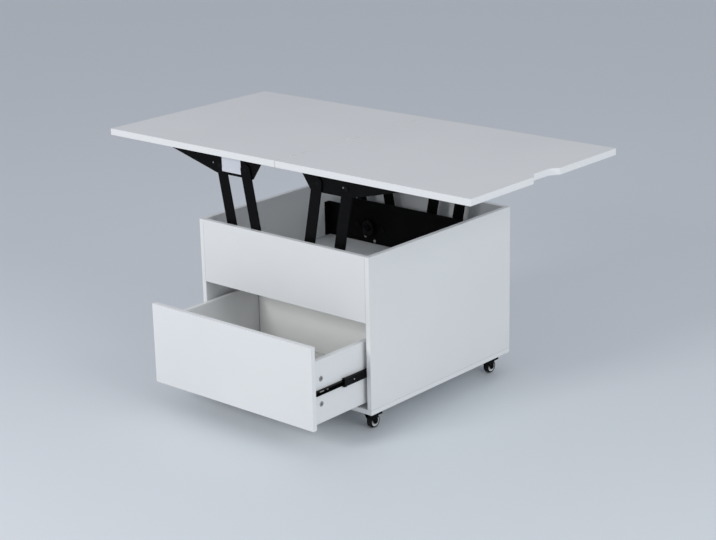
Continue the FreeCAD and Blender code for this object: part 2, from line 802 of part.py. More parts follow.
# Top pivot pins: the inner arm lies outside its bracket, the outer arm inside it, where the pin has a head
for side_name, side in sides.items():
    pins = []
    for end in ("front", "rear"):
        web_outside = outside_of(end, side_name + "_bracket")
        web_inside = inside_of(end, side_name + "_bracket")
        x, z = top_pivot(side, "inner")
        pins.append(rod_y(x, z, pivot_radius, outside_of(end, side_name + "_inner"), web_inside))
        x, z = top_pivot(side, "outer")
        pin = rod_y(x, z, pivot_radius, web_outside, inside_of(end, side_name + "_outer"))
        head_end = web_outside - inward_of(end) * pivot_head_height
        pins.append(fuse(pin, [rod_y(x, z, pivot_head_radius, web_outside, head_end)]))
    nodes[side_name + "_top_pivot_pins"] = Part.makeCompound(pins)

# Cross rails and pads of the right support frame
support_top = bracket_tops["right"]
rail_top = support_top - sheet_thickness
rail_low = inside_of("front", "right_bracket")
rail_high = inside_of("rear", "right_bracket")
rails = []
pads = []
for share in rail_shares:
    rail_x = lift_offset + bracket_hold_start + share * bracket_span
    rails.append(span_box((rail_x - rail_width / 2, rail_low, rail_top - sheet_thickness),
                          (rail_x + rail_width / 2, rail_high, rail_top)))
    for end in ("front", "rear"):
        pad_depth = inside_of(end, "right_bracket") + inward_of(end) * right_flange_width / 2
        pads.append(rod(vec(rail_x, pad_depth, support_top), vec(rail_x, pad_depth, support_top + pad_height),
                        pad_radius))
nodes["support_rails"] = Part.makeCompound(rails)
nodes["support_pads"] = Part.makeCompound(pads)


# Top leaves with the seam hinges let into their facing edges
seam_edge = seam_gap / 2
third = hinge_length / 3


def hinge_leaf(side, place):
    """Hinge sheet in the seam face with its knuckles: two on the left, one between them on the right."""
    x_low, x_high = sorted((side * seam_edge, side * (seam_edge + hinge_sheet)))
    start = place - hinge_length / 2
    sheet = span_box((x_low, start, hinge_axis_height - hinge_depth),
                     (x_high, start + hinge_length, hinge_axis_height))
    own = []
    spared = []
    for index in range(3):
        low = start + index * third
        if (index == 1) == (side > 0):
            own.append(rod_y(0, hinge_axis_height, knuckle_radius, low, low + third))
        else:
            spared.append(rod_y(0, hinge_axis_height, knuckle_radius + knuckle_gap,
                                low - knuckle_gap, low + third + knuckle_gap))
    bore = rod_y(0, hinge_axis_height, hinge_pin_radius + running_gap,
                 start - overrun, start + hinge_length + overrun)
    return fuse(sheet, own).cut(spared + [bore])


def hinge_mortise(side, place):
    """Recess in a leaf's seam face for a hinge sheet and its knuckles."""
    x_low, x_high = sorted((side * seam_edge, side * (seam_edge + hinge_sheet + fit_gap)))
    half_length = hinge_length / 2 + fit_gap
    pocket = span_box((x_low, place - half_length, hinge_axis_height - hinge_depth - fit_gap),
                      (x_high, place + half_length, hinge_axis_height))
    relief = rod_y(0, hinge_axis_height, knuckle_radius + knuckle_relief,
                   place - half_length, place + half_length)
    return fuse(pocket, [relief])


def top_leaf(side, notched):
    """Board of the top, with rounded corners and edges, and a finger notch in the far edge where asked."""
    near = side * seam_edge
    far = side * leaf_length
    half = leaf_width / 2
    corners = [(near, -half), (far, -half), (far, half), (near, half)]
    radii = [leaf_corner_round] * 4
    if notched:
        bottom = far - side * notch_depth
        corners[2:2] = [(far, -notch_mouth / 2), (bottom, -notch_bottom / 2),
                        (bottom, notch_bottom / 2), (far, notch_mouth / 2)]
        radii = [leaf_corner_round] * 2 + [notch_round] * 4 + [leaf_corner_round] * 2
    board = flat_plate(corners, radii, leaf_bottom, table_height)
    level_edges = [edge for edge in board.Edges if edge.BoundBox.ZLength < join_tolerance]
    board = board.makeFillet(leaf_edge_round, level_edges)
    return cut(board, [hinge_mortise(side, place) for place in hinge_places])


screw_bores = [screw_hole(seat, along_z, screw_shank_radius, screw_shank_length)
               for seat in bracket_screw_seats]
nodes["left_leaf"] = cut(top_leaf(-1, False), screw_bores)
nodes["right_leaf"] = top_leaf(1, True)
for side_name, side in sides.items():
    hinge_sheets = [hinge_leaf(side, place) for place in hinge_places]
    nodes[side_name + "_hinge_leaves"] = Part.makeCompound(hinge_sheets)
hinge_pins = []
for place in hinge_places:
    hinge_pins.append(rod_y(0, hinge_axis_height, hinge_pin_radius,
                            place - hinge_length / 2, place + hinge_length / 2))
nodes["hinge_pins"] = Part.makeCompound(hinge_pins)


# Casters: a screwed plate with race and kingpin, a swivelling fork with its axle, and a wheel
race_bottom = plate_bottom_face - race_height
crown_top = race_bottom - swivel_gap
crown_bottom = crown_top - crown_thickness
axle_height = wheel_radius
cheek_inside = wheel_width / 2 + cheek_gap
cheek_outside = cheek_inside + cheek_thickness


def caster_block(swivel_x, swivel_y, inset, top):
    """Block of a caster plate's outline, set in by a distance, from the race's foot up to a height."""
    half_x = caster_plate_width / 2 - inset
    half_y = caster_plate_depth / 2 - inset
    corners = [(swivel_x - half_x, swivel_y - half_y), (swivel_x + half_x, swivel_y - half_y),
               (swivel_x + half_x, swivel_y + half_y), (swivel_x - half_x, swivel_y + half_y)]
    return flat_plate(corners, [caster_plate_round - inset] * 4, race_bottom, top)


def caster_plate(swivel_x, swivel_y):
    """Pressed plate with its rim turned down, the race under it and the kingpin riveted through."""
    block = caster_block(swivel_x, swivel_y, 0, caster_height)
    sheet = block.cut(caster_block(swivel_x, swivel_y, caster_rim_thickness, plate_bottom_face))
    race = rod(vec(swivel_x, swivel_y, race_bottom), vec(swivel_x, swivel_y, plate_bottom_face), race_radius)
    head_top = crown_bottom - swivel_gap
    pin = rod(vec(swivel_x, swivel_y, head_top), vec(swivel_x, swivel_y, race_bottom), kingpin_radius)
    head_bottom = head_top - kingpin_head_height
    head = rod(vec(swivel_x, swivel_y, head_bottom), vec(swivel_x, swivel_y, head_top), kingpin_head_radius)
    return cut(fuse(sheet, [race, pin, head]), caster_holes)


def caster_fork(swivel_x, swivel_y):
    """Bent fork: a crown on the kingpin, two tapered cheeks and the wheel's axle."""
    low = (swivel_x - cheek_outside, swivel_y - crown_front, crown_bottom)
    high = (swivel_x + cheek_outside, swivel_y + crown_rear, crown_top)
    crown = span_box(low, high)
    hole = rod(vec(swivel_x, swivel_y, crown_bottom), vec(swivel_x, swivel_y, crown_top),
               kingpin_radius + running_gap)
    axle_y = swivel_y + caster_trail
    foot = axle_height - cheek_foot_radius
    cheeks = []
    for side in sides.values():
        x_low, x_high = sorted((swivel_x + side * cheek_inside, swivel_x + side * cheek_outside))
        outline = [
            vec(x_low, swivel_y - crown_front, crown_top),
            vec(x_low, swivel_y + crown_rear, crown_top),
            vec(x_low, axle_y + cheek_foot_radius, foot),
            vec(x_low, axle_y - cheek_foot_radius, foot),
        ]
        radii = [cheek_top_round] * 2 + [cheek_foot_round] * 2
        cheeks.append(Part.Face(rounded_wire(outline, radii)).extrude(vec(x_high - x_low, 0, 0)))
    axle_end = cheek_outside + axle_head
    axle = rod(vec(swivel_x - axle_end, axle_y, axle_height), vec(swivel_x + axle_end, axle_y, axle_height),
               axle_radius)
    return cut(fuse(crown, cheeks + [axle]), [hole])


def caster_wheel(swivel_x, swivel_y):
    """Wheel with rounded tread edges and a ring recess on each face round the hub boss."""
    axle_y = swivel_y + caster_trail
    centre = vec(swivel_x, axle_y, axle_height)
    left = centre - along_x * (wheel_width / 2)
    right = centre + along_x * (wheel_width / 2)
    tread = rod(left, right, wheel_radius)
    rims = [edge for edge in tread.Edges if edge.Closed]
    tread = tread.makeFillet(wheel_round, rims)
    tools = [rod(left, right, axle_radius + running_gap)]
    for face, inwards in ((left, along_x), (right, along_x * -1)):
        ring = Part.makeCylinder(hub_radius, hub_recess, face, inwards)
        tools.append(ring.cut(Part.makeCylinder(hub_boss_radius, hub_recess, face, inwards)))
    return cut(tread, tools)


nodes["caster_plates"] = Part.makeCompound([caster_plate(x, y) for x, y in caster_places.values()])
nodes["caster_screws"] = Part.makeCompound([
    headed_screw(seat, along_z, caster_screw_head_radius, caster_screw_head_height,
                 screw_shank_radius, screw_shank_length)
    for seat in caster_screw_seats])
for name, (swivel_x, swivel_y) in caster_places.items():
    nodes[name + "_caster_fork"] = caster_fork(swivel_x, swivel_y)
    nodes[name + "_caster_wheel"] = caster_wheel(swivel_x, swivel_y)

os.makedirs("parts", exist_ok=True)
for name, shape in nodes.items():
    shape.exportStep("parts/" + name + ".step")
print(len(nodes), "nodes, arm length", round(math.hypot(arm_run, arm_rise), 2),
      "swing", round(math.degrees(closed_angle - open_angle), 2))
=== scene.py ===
# Looks of a convertible coffee and dining table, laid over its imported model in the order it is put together.
import math

import bmesh
import bpy
import numpy as np
from mathutils import Matrix, Vector


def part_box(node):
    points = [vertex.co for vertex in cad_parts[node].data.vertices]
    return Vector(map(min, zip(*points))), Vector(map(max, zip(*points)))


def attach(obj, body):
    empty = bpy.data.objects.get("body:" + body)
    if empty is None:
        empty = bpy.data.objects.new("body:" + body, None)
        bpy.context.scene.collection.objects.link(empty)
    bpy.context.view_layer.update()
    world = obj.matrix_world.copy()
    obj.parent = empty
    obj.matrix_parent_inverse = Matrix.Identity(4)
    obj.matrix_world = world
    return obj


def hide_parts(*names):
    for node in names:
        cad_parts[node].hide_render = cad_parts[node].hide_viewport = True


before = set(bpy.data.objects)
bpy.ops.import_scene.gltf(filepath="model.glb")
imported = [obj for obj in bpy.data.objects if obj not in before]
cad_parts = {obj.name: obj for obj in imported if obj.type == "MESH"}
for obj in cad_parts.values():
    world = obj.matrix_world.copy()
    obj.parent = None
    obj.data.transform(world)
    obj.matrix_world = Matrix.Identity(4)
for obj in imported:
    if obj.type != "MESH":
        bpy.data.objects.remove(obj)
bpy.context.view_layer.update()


# Cabinet: flat-pack boards of particle board faced with white melamine and screwed together.
# Their faces carry a fine embossed pebble, and each sawn edge is closed with a smooth band glued on.
melamine_tones = ((0.785, 0.795, 0.80, 1), (0.81, 0.82, 0.822, 1))
# The joint tone is the real hairline where band meets foil, and also painted shade in the joints between
# boards; the reach is how far that painted shade looks.
band_tone, joint_and_crease_shade_tone = (0.83, 0.838, 0.84, 1), (0.36, 0.355, 0.34, 1)
crease_shade_reach = 0.002
noise_low, noise_high = 0.3, 0.7


def add_node(tree, kind, values=(), **settings):
    """Shader node with its settings; values maps an input to a number, a colour or a socket to link."""
    node = tree.nodes.new(kind)
    for key, value in settings.items():
        setattr(node, key, value)
    for key, value in dict(values).items():
        if isinstance(value, bpy.types.NodeSocket):
            tree.links.new(value, node.inputs[key])
        else:
            node.inputs[key].default_value = value
    return node


def calculate(tree, operation, first, second=0.0):
    """Result of one sum on two sockets or numbers."""
    return add_node(tree, "ShaderNodeMath", {0: first, 1: second}, operation=operation).outputs[0]


def rescale(tree, value, low, high, to_low, to_high):
    """Value carried from one range to another, held at the ends."""
    values = {"Value": value, "From Min": low, "From Max": high, "To Min": to_low, "To Max": to_high}
    return add_node(tree, "ShaderNodeMapRange", values).outputs[0]


def mix_colours(tree, share, first, second):
    """Colour between two colours, by a share from 0 to 1."""
    mix = add_node(tree, "ShaderNodeMix", {0: share, 6: first, 7: second}, data_type="RGBA")
    return mix.outputs[2]


def new_group(name, inputs, outputs):
    """Shader node group with named sockets, and its inner input and output nodes."""
    tree = bpy.data.node_groups.new(name, "ShaderNodeTree")
    for label, value in inputs.items():
        kind = "NodeSocketVector" if isinstance(value, tuple) else "NodeSocketFloat"
        tree.interface.new_socket(label, in_out="INPUT", socket_type=kind).default_value = value
    for label, kind in outputs.items():
        tree.interface.new_socket(label, in_out="OUTPUT", socket_type=kind)
    return tree, tree.nodes.new("NodeGroupInput"), tree.nodes.new("NodeGroupOutput")


def use_group(tree, group, values):
    """A group placed in a material with its own values."""
    node = tree.nodes.new("ShaderNodeGroup")
    node.node_tree = group
    for key, value in values.items():
        node.inputs[key].default_value = value
    return node


def new_finish(name):
    """Material with its node tree and its shader."""
    material = bpy.data.materials.new(name)
    material.use_nodes = True
    return material, material.node_tree, material.node_tree.nodes["Principled BSDF"]


def add_bump(tree, shader, values):
    """Bump of a finish, fed into the shader's normal."""
    bump = add_node(tree, "ShaderNodeBump", values)
    tree.links.new(bump.outputs[0], shader.inputs["Normal"])


def relief_group():
    """Fine relief of a coat or foil, and the slow drift of its tone over the piece."""
    tree, given, result = new_group("relief_and_drift", {"Grain Scale": 900.0, "Drift Scale": 4.0},
                                    {"Height": "NodeSocketFloat", "Drift": "NodeSocketFloat"})
    place = tree.nodes.new("ShaderNodeTexCoord").outputs["Object"]
    grain = add_node(tree, "ShaderNodeTexNoise",
                     {"Vector": place, "Scale": given.outputs["Grain Scale"], "Detail": 2.0})
    drift = add_node(tree, "ShaderNodeTexNoise",
                     {"Vector": place, "Scale": given.outputs["Drift Scale"], "Detail": 3.0})
    tree.links.new(grain.outputs[0], result.inputs["Height"])
    tree.links.new(rescale(tree, drift.outputs[0], noise_low, noise_high, 0.0, 1.0), result.inputs["Drift"])
    return tree


def banded_edge_group():
    """Which faces of a board are its banded edges, and the hairline where band and foil meet.

    Flatness is 1 on the board's faces, 0 on its edges, and in between on the broken corner.
    """
    band_full, band_none = 0.45, 0.55
    corner_flatness, line_core, line_end = 0.72, 0.05, 0.2
    tree, given, result = new_group("banded_edge", {"Thickness Direction": (0.0, 0.0, 1.0)},
                                    {"Band": "NodeSocketFloat", "Joint": "NodeSocketFloat"})
    facing = tree.nodes.new("ShaderNodeTexCoord").outputs["Normal"]
    dot = add_node(tree, "ShaderNodeVectorMath", {0: facing, 1: given.outputs["Thickness Direction"]},
                   operation="DOT_PRODUCT")
    flatness = calculate(tree, "ABSOLUTE", dot.outputs["Value"])
    tree.links.new(rescale(tree, flatness, band_full, band_none, 1.0, 0.0), result.inputs["Band"])
    off_line = calculate(tree, "ABSOLUTE", calculate(tree, "SUBTRACT", flatness, corner_flatness))
    tree.links.new(rescale(tree, off_line, line_core, line_end, 1.0, 0.0), result.inputs["Joint"])
    return tree


def crease_shade_group():
    """Painted shade: how deep a point lies in a narrow joint or inner corner between boards, read from ambient
    occlusion, where a thin dark line is painted.
    """
    closed_in, open_enough = 0.55, 0.95
    tree, given, result = new_group("board_crease_shade", {"Reach": 0.002}, {"Crease Shade": "NodeSocketFloat"})
    open_air = add_node(tree, "ShaderNodeAmbientOcclusion", {"Distance": given.outputs["Reach"]}, samples=6)
    crease_shade = rescale(tree, open_air.outputs["AO"], closed_in, open_enough, 1.0, 0.0)
    tree.links.new(crease_shade, result.inputs["Crease Shade"])
    return tree


relief = relief_group()
banded_edge = banded_edge_group()
board_crease_shade = crease_shade_group()


def board_finish(name, thickness_direction, face_tones=melamine_tones, joint_and_shade_tone=joint_and_crease_shade_tone):
    """White melamine on the faces, a slightly brighter and smoother band on the edges, a dark hairline where
    they meet and painted shade in the joints between boards.
    """
    pebble_scale, drift_scale = 750.0, 3.0
    pebble_strength, pebble_depth = 0.12, 0.0003
    face_smoothest, face_roughest, band_polish = 0.40, 0.50, 0.12
    hairline_share = 0.25
    material, tree, shader = new_finish(name)
    skin = use_group(tree, relief, {"Grain Scale": pebble_scale, "Drift Scale": drift_scale})
    edge = use_group(tree, banded_edge, {"Thickness Direction": thickness_direction})
    face = mix_colours(tree, skin.outputs["Drift"], *face_tones)
    banded = mix_colours(tree, edge.outputs["Band"], face, band_tone)
    # Painted shade: the joint tone is painted into narrow joints and inner corners that ambient occlusion
    # finds closed in, beside the real hairline of the band.
    crease_shade = use_group(tree, board_crease_shade, {"Reach": crease_shade_reach})
    hairline = calculate(tree, "MULTIPLY", edge.outputs["Joint"], hairline_share)
    line = calculate(tree, "MAXIMUM", crease_shade.outputs["Crease Shade"], hairline)
    tree.links.new(mix_colours(tree, line, banded, joint_and_shade_tone), shader.inputs["Base Color"])
    sheen = rescale(tree, skin.outputs["Drift"], 0.0, 1.0, face_smoothest, face_roughest)
    smoother = calculate(tree, "MULTIPLY", edge.outputs["Band"], band_polish)
    tree.links.new(calculate(tree, "SUBTRACT", sheen, smoother), shader.inputs["Roughness"])
    add_bump(tree, shader, {"Strength": pebble_strength, "Distance": pebble_depth,
                            "Height": skin.outputs["Height"]})
    return material


def dress(material, *nodes):
    """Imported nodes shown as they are, in a finish."""
    for node in nodes:
        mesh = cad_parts[node].data
        mesh.materials.clear()
        mesh.materials.append(material)


board_across_x = board_finish("white_board_upright_sides", (1.0, 0.0, 0.0))
board_across_y = board_finish("white_board_fronts", (0.0, 1.0, 0.0))
board_across_z = board_finish("white_board_level", (0.0, 0.0, 1.0))
dress(board_across_x, "left_side_panel", "right_side_panel")
dress(board_across_y, "front_apron", "back_panel")
dress(board_across_z, "bottom_panel", "storage_floor")


# Casters: a pressed plate, a fork that swivels under it, and a small wheel with a soft black tyre on
# a light grey hub. Plate and fork are black coated steel, and the axle is riveted over on both sides.
caster_names = ("front_left", "rear_left", "front_right", "rear_right")
tyre_steps, dome_steps = 96, 7
tyre_turn = np.linspace(0.0, 2 * math.pi, tyre_steps, endpoint=False)
rivet_turn = tyre_turn[::4]
shoulder_share, shoulder_steps, bead_share = 0.17, 8, 0.06
bead_section = ((0.0, -1.0), (0.4, 0.0), (1.0, 0.0), (1.6, -0.4))
groove_width, groove_depth, groove_place_share = 0.0011, 0.0007, 0.34
groove_section = ((0.5, 0.0), (0.3, 1.0), (-0.3, 1.0), (-0.5, 0.0))
bore_share, boss_share, dish_share, rim_share, tyre_seat_share = 0.16, 0.30, 0.46, 0.70, 0.775
boss_level, step_level, dish_level, rim_level = 0.46, 0.42, 0.33, 0.455
boss_slope, dish_slope, rim_slope = 0.03, 0.08, 0.03
pocket_count, pocket_depth, pocket_sharpness = 6, 0.0012, 4
pocket_ring_share, pocket_spread = 0.53, 0.07
rivet_radius, rivet_height, rivet_sunk, rivet_shank_share = 0.0046, 0.0013, 0.001, 0.6


def worn_edge_group():
    """Outer edges where a coat is rubbed thin, broken up by patches, and the normal rounded there."""
    sharp_likeness, flat_likeness = 0.80, 0.99
    patch_none, patch_full = 0.48, 0.62
    tree, given, result = new_group("worn_edge", {"Radius": 0.0006, "Patch Scale": 120.0},
                                    {"Wear": "NodeSocketFloat", "Normal": "NodeSocketVector"})
    place = tree.nodes.new("ShaderNodeTexCoord").outputs["Object"]
    rounded = add_node(tree, "ShaderNodeBevel", {"Radius": given.outputs["Radius"]}, samples=4)
    flat = tree.nodes.new("ShaderNodeNewGeometry").outputs["Normal"]
    alike = add_node(tree, "ShaderNodeVectorMath", {0: rounded.outputs[0], 1: flat},
                     operation="DOT_PRODUCT").outputs["Value"]
    patch = add_node(tree, "ShaderNodeTexNoise",
                     {"Vector": place, "Scale": given.outputs["Patch Scale"], "Detail": 3.0})
    rubbed = rescale(tree, alike, sharp_likeness, flat_likeness, 1.0, 0.0)
    patchy = rescale(tree, patch.outputs[0], patch_none, patch_full, 0.0, 1.0)
    tree.links.new(calculate(tree, "MULTIPLY", rubbed, patchy), result.inputs["Wear"])
    tree.links.new(rounded.outputs[0], result.inputs["Normal"])
    return tree


worn_edge = worn_edge_group()


def coated_steel(name, colour, worn_colour, roughness, grain_scale):
    """Steel with a dark coat: orange-peel relief, a drifting gloss and edges rubbed thin."""
    drift_scale, drift_gain, gloss_spread, specular = 14.0, 1.6, 0.06, 0.06
    edge_radius, patch_scale, wear_share = 0.0005, 160.0, 0.5
    peel_strength, peel_depth = 0.25, 0.0002
    material, tree, shader = new_finish(name)
    coat = use_group(tree, relief, {"Grain Scale": grain_scale, "Drift Scale": drift_scale})
    edge = use_group(tree, worn_edge, {"Radius": edge_radius, "Patch Scale": patch_scale})
    lighter = tuple(drift_gain * part for part in colour[:3]) + (1,)
    tone = mix_colours(tree, coat.outputs["Drift"], colour, lighter)
    worn = calculate(tree, "MULTIPLY", edge.outputs["Wear"], wear_share)
    tree.links.new(mix_colours(tree, worn, tone, worn_colour), shader.inputs["Base Color"])
    gloss = rescale(tree, coat.outputs["Drift"], 0.0, 1.0, roughness - gloss_spread, roughness + gloss_spread)
    tree.links.new(gloss, shader.inputs["Roughness"])
    add_bump(tree, shader, {"Strength": peel_strength, "Distance": peel_depth,
                            "Height": coat.outputs["Height"], "Normal": edge.outputs["Normal"]})
    shader.inputs["Specular IOR Level"].default_value = specular
    return material


def bare_metal(name, colour, roughness, streaks):
    """Plated or polished metal with fine streaks along one direction and a drifting gloss."""
    drift_scale, drift_loss, gloss_spread = 60.0, 0.72, 0.08
    edge_radius, streak_strength, streak_depth = 0.0004, 0.1, 0.0001
    material, tree, shader = new_finish(name)
    film = use_group(tree, relief, {"Drift Scale": drift_scale})
    edge = use_group(tree, worn_edge, {"Radius": edge_radius})
    place = tree.nodes.new("ShaderNodeTexCoord").outputs["Object"]
    turned = add_node(tree, "ShaderNodeMapping", {"Vector": place, "Scale": streaks})
    lines = add_node(tree, "ShaderNodeTexNoise", {"Vector": turned.outputs[0], "Scale": 1.0, "Detail": 2.0})
    darker = tuple(drift_loss * part for part in colour[:3]) + (1,)
    tone = mix_colours(tree, film.outputs["Drift"], colour, darker)
    tree.links.new(tone, shader.inputs["Base Color"])
    gloss = rescale(tree, lines.outputs[0], noise_low, noise_high, roughness - gloss_spread,
                    roughness + gloss_spread)
    tree.links.new(gloss, shader.inputs["Roughness"])
    add_bump(tree, shader, {"Strength": streak_strength, "Distance": streak_depth,
                            "Height": lines.outputs[0], "Normal": edge.outputs["Normal"]})
    shader.inputs["Metallic"].default_value = 1.0
    return material


def moulded(name, colour, other_colour, roughness, grain_scale, specular=0.5):
    """Moulded rubber or plastic: a fine grain, a cloudy tone and a drifting gloss."""
    drift_scale, gloss_spread = 80.0, 0.07
    grain_strength, grain_depth = 0.2, 0.0002
    material, tree, shader = new_finish(name)
    skin = use_group(tree, relief, {"Grain Scale": grain_scale, "Drift Scale": drift_scale})
    tone = mix_colours(tree, skin.outputs["Drift"], colour, other_colour)
    tree.links.new(tone, shader.inputs["Base Color"])
    gloss = rescale(tree, skin.outputs["Drift"], 0.0, 1.0, roughness - gloss_spread, roughness + gloss_spread)
    tree.links.new(gloss, shader.inputs["Roughness"])
    add_bump(tree, shader, {"Strength": grain_strength, "Distance": grain_depth,
                            "Height": skin.outputs["Height"]})
    shader.inputs["Specular IOR Level"].default_value = specular
    return material


def grid_faces(rows, columns, row_loop):
    """Quads of a grid of points that closes round its columns and, where told, round its rows."""
    row = np.arange(rows if row_loop else rows - 1)
    r, c = (part.ravel() for part in np.meshgrid(row, np.arange(columns), indexing="ij"))
    r_next, c_next = (r + 1) % rows, (c + 1) % columns
    return np.stack([r * columns + c, r * columns + c_next, r_next * columns + c_next, r_next * columns + c],
                    axis=1)


def add_piece(name, grids, material, body, sharp_degrees=35.0, row_loop=False):
    """Mesh of several closed grids, riding on a body.

    Points that fall together, as at a pole, become one, and every closed skin is turned outwards.
    """
    merge_distance = 1e-7
    points = np.concatenate([grid.reshape(-1, 3) for grid in grids])
    starts = np.cumsum([0] + [grid.shape[0] * grid.shape[1] for grid in grids])
    faces = np.concatenate([grid_faces(*grid.shape[:2], row_loop) + first
                            for grid, first in zip(grids, starts)])
    mesh = bpy.data.meshes.new(name)
    mesh.from_pydata(points.tolist(), [], faces.tolist())
    skin = bmesh.new()
    skin.from_mesh(mesh)
    bmesh.ops.remove_doubles(skin, verts=skin.verts, dist=merge_distance)
    bmesh.ops.recalc_face_normals(skin, faces=skin.faces)
    skin.to_mesh(mesh)
    skin.free()
    mesh.shade_smooth()
    mesh.set_sharp_from_angle(angle=math.radians(sharp_degrees))
    mesh.materials.append(material)
    piece = bpy.data.objects.new(name, mesh)
    bpy.context.scene.collection.objects.link(piece)
    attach(piece, body)
    return piece


def turned_grid(centre, outward, profile, angles, bulge=None):
    """Profile of (radius, height) points carried round an outward axis.

    A point is the centre, plus its radius along the turning spoke, plus its height along the axis;
    bulge adds height by (point, angle).
    """
    nearly_upright = 0.9
    outward = np.asarray(outward, float)
    aside = np.cross(outward, (0.0, 0.0, 1.0) if abs(outward[2]) < nearly_upright else (1.0, 0.0, 0.0))
    aside /= np.linalg.norm(aside)
    across = np.cross(outward, aside)
    radius, height = np.asarray(profile, float).T
    height = np.repeat(height[:, None], len(angles), axis=1)
    if bulge is not None:
        height = height + bulge
    ring = np.cos(angles)[:, None] * aside + np.sin(angles)[:, None] * across
    return np.asarray(centre) + radius[:, None, None] * ring + height[:, :, None] * outward


def round_corner(start, corner, end, radius, steps=5):
    """Points of a quadratic blend from one leg of a profile's corner to the other, drawn to the corner."""
    start, corner, end = (np.asarray(point, float) for point in (start, corner, end))
    first = corner + (start - corner) / np.linalg.norm(start - corner) * radius
    last = corner + (end - corner) / np.linalg.norm(end - corner) * radius
    t = np.linspace(0.0, 1.0, steps)[:, None]
    return (1 - t) ** 2 * first + 2 * t * (1 - t) * corner + t ** 2 * last


def tyre_profile(radius, width):
    """Half-round shoulders, two rain grooves in the tread and a raised bead beside the hub."""
    seat, half = tyre_seat_share * radius, width / 2
    shoulder, bead = shoulder_share * width, bead_share * radius
    grooves = [(radius - depth * groove_depth, side * groove_place_share * width + offset * groove_width)
               for side in (1, -1) for offset, depth in groove_section]
    upper = round_corner((seat, half), (radius, half), (radius, -half), shoulder, shoulder_steps)
    lower = round_corner((radius, half), (radius, -half), (seat, -half), shoulder, shoulder_steps)
    top = [(seat + out * bead, half + up * bead) for out, up in bead_section]
    bottom = [(r, -h) for r, h in reversed(top)]
    return np.concatenate([top, upper, grooves, lower, bottom])


def hub_profile(radius, width):
    """Rim, sunken dish and raised boss on both faces of the hub, from bore to tyre seat.

    Points are shares of the wheel's radius and of its width, and the second face mirrors the first.
    """
    face = np.array([(bore_share, boss_level), (boss_share, boss_level),
                     (boss_share + boss_slope, step_level), (dish_share, dish_level),
                     (rim_share - dish_slope, dish_level), (rim_share - rim_slope, step_level),
                     (rim_share, rim_level), (tyre_seat_share, rim_level)])
    face *= (radius, width)
    return np.concatenate([face, face[::-1] * (1, -1)])


def hub_pockets(profile, radius):
    """Height taken off both faces of the hub between its spokes.

    A bell over the distance from the ring of pockets, times a rounded square wave round the turn.
    """
    off_ring = (profile[:, 0] / radius - pocket_ring_share) / pocket_spread
    dish = np.exp(-off_ring ** 2) * np.sign(profile[:, 1])
    spokes = 0.5 + 0.5 * np.tanh(pocket_sharpness * np.cos(pocket_count * tyre_turn))
    return -pocket_depth * dish[:, None] * spokes


def domed_rivet(seat, outward, radius, height, sunk):
    """Dome of a quarter ellipse from its pole to its rim, then a straight shank that ends below the seat."""
    share, shank = np.linspace(0.0, 1.0, dome_steps), rivet_shank_share * radius
    dome = np.stack([radius * np.sin(share * math.pi / 2), height * np.cos(share * math.pi / 2)], axis=1)
    profile = np.concatenate([dome, [(shank, 0.0), (shank, -sunk), (0.0, -sunk)]])
    return turned_grid(seat, outward, profile, rivet_turn)


black_steel = coated_steel("black_powder_coat", (0.0024, 0.0024, 0.0027, 1), (0.03, 0.03, 0.032, 1),
                           roughness=0.46, grain_scale=620.0)
black_oxide = coated_steel("black_oxide", (0.006, 0.006, 0.0065, 1), (0.08, 0.08, 0.083, 1),
                           roughness=0.38, grain_scale=1800.0)
zinc = bare_metal("zinc_plate", (0.62, 0.62, 0.61, 1), roughness=0.34, streaks=(40.0, 40.0, 900.0))
tyre_rubber = moulded("tyre_rubber", (0.006, 0.006, 0.0065, 1), (0.012, 0.012, 0.0125, 1),
                      roughness=0.62, grain_scale=1400.0, specular=0.2)
hub_plastic = moulded("grey_hub_plastic", (0.60, 0.61, 0.615, 1), (0.66, 0.665, 0.67, 1),
                      roughness=0.36, grain_scale=1100.0)
dress(black_steel, "caster_plates", *(name + "_caster_fork" for name in caster_names))

for name in caster_names:
    low, high = (np.array(corner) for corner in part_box(name + "_caster_wheel"))
    centre, wheel_radius, wheel_width = (low + high) / 2, (high[2] - low[2]) / 2, high[0] - low[0]
    tread = turned_grid(centre, (1, 0, 0), tyre_profile(wheel_radius, wheel_width), tyre_turn)
    tyre = add_piece(name + "_tyre", [tread], tyre_rubber, name + "_wheel",
                     sharp_degrees=30.0, row_loop=True)
    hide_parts(name + "_caster_wheel")
    profile = hub_profile(wheel_radius, wheel_width)
    disc = turned_grid(centre, (1, 0, 0), profile, tyre_turn, hub_pockets(profile, wheel_radius))
    add_piece(name + "_hub", [disc], hub_plastic, name + "_wheel",
              sharp_degrees=40.0, row_loop=True)
    low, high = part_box(name + "_caster_fork")
    rivets = [domed_rivet((face, centre[1], centre[2]), (side, 0, 0), rivet_radius, rivet_height, rivet_sunk)
              for side, face in ((-1, low.x), (1, high.x))]
    add_piece(name + "_axle_rivets", rivets, black_oxide, name + "_caster")


# Pan-head screws: low domes with a crossed driver recess, headed from steel wire and zinc plated.
# Four hold each caster plate; the short shank hides in the board. The same head serves the slides,
# the lift and the cam locks further on.
cross_turn = np.concatenate([np.radians(quarter + np.array((-45, -30, -14, -8, 0, 8, 14, 30)))
                             for quarter in (0, 90, 180, 270)])
shank_length, rim_rise, dome_rings = 0.004, 0.35, ((0.93, 0.66), (0.78, 0.86))
cross_reach, cross_half_width = 0.56, 0.15
lip_spread, lip_rise, recess_taper, recess_rise, recess_floor = 1.04, 0.97, 0.82, 0.3, 0.22


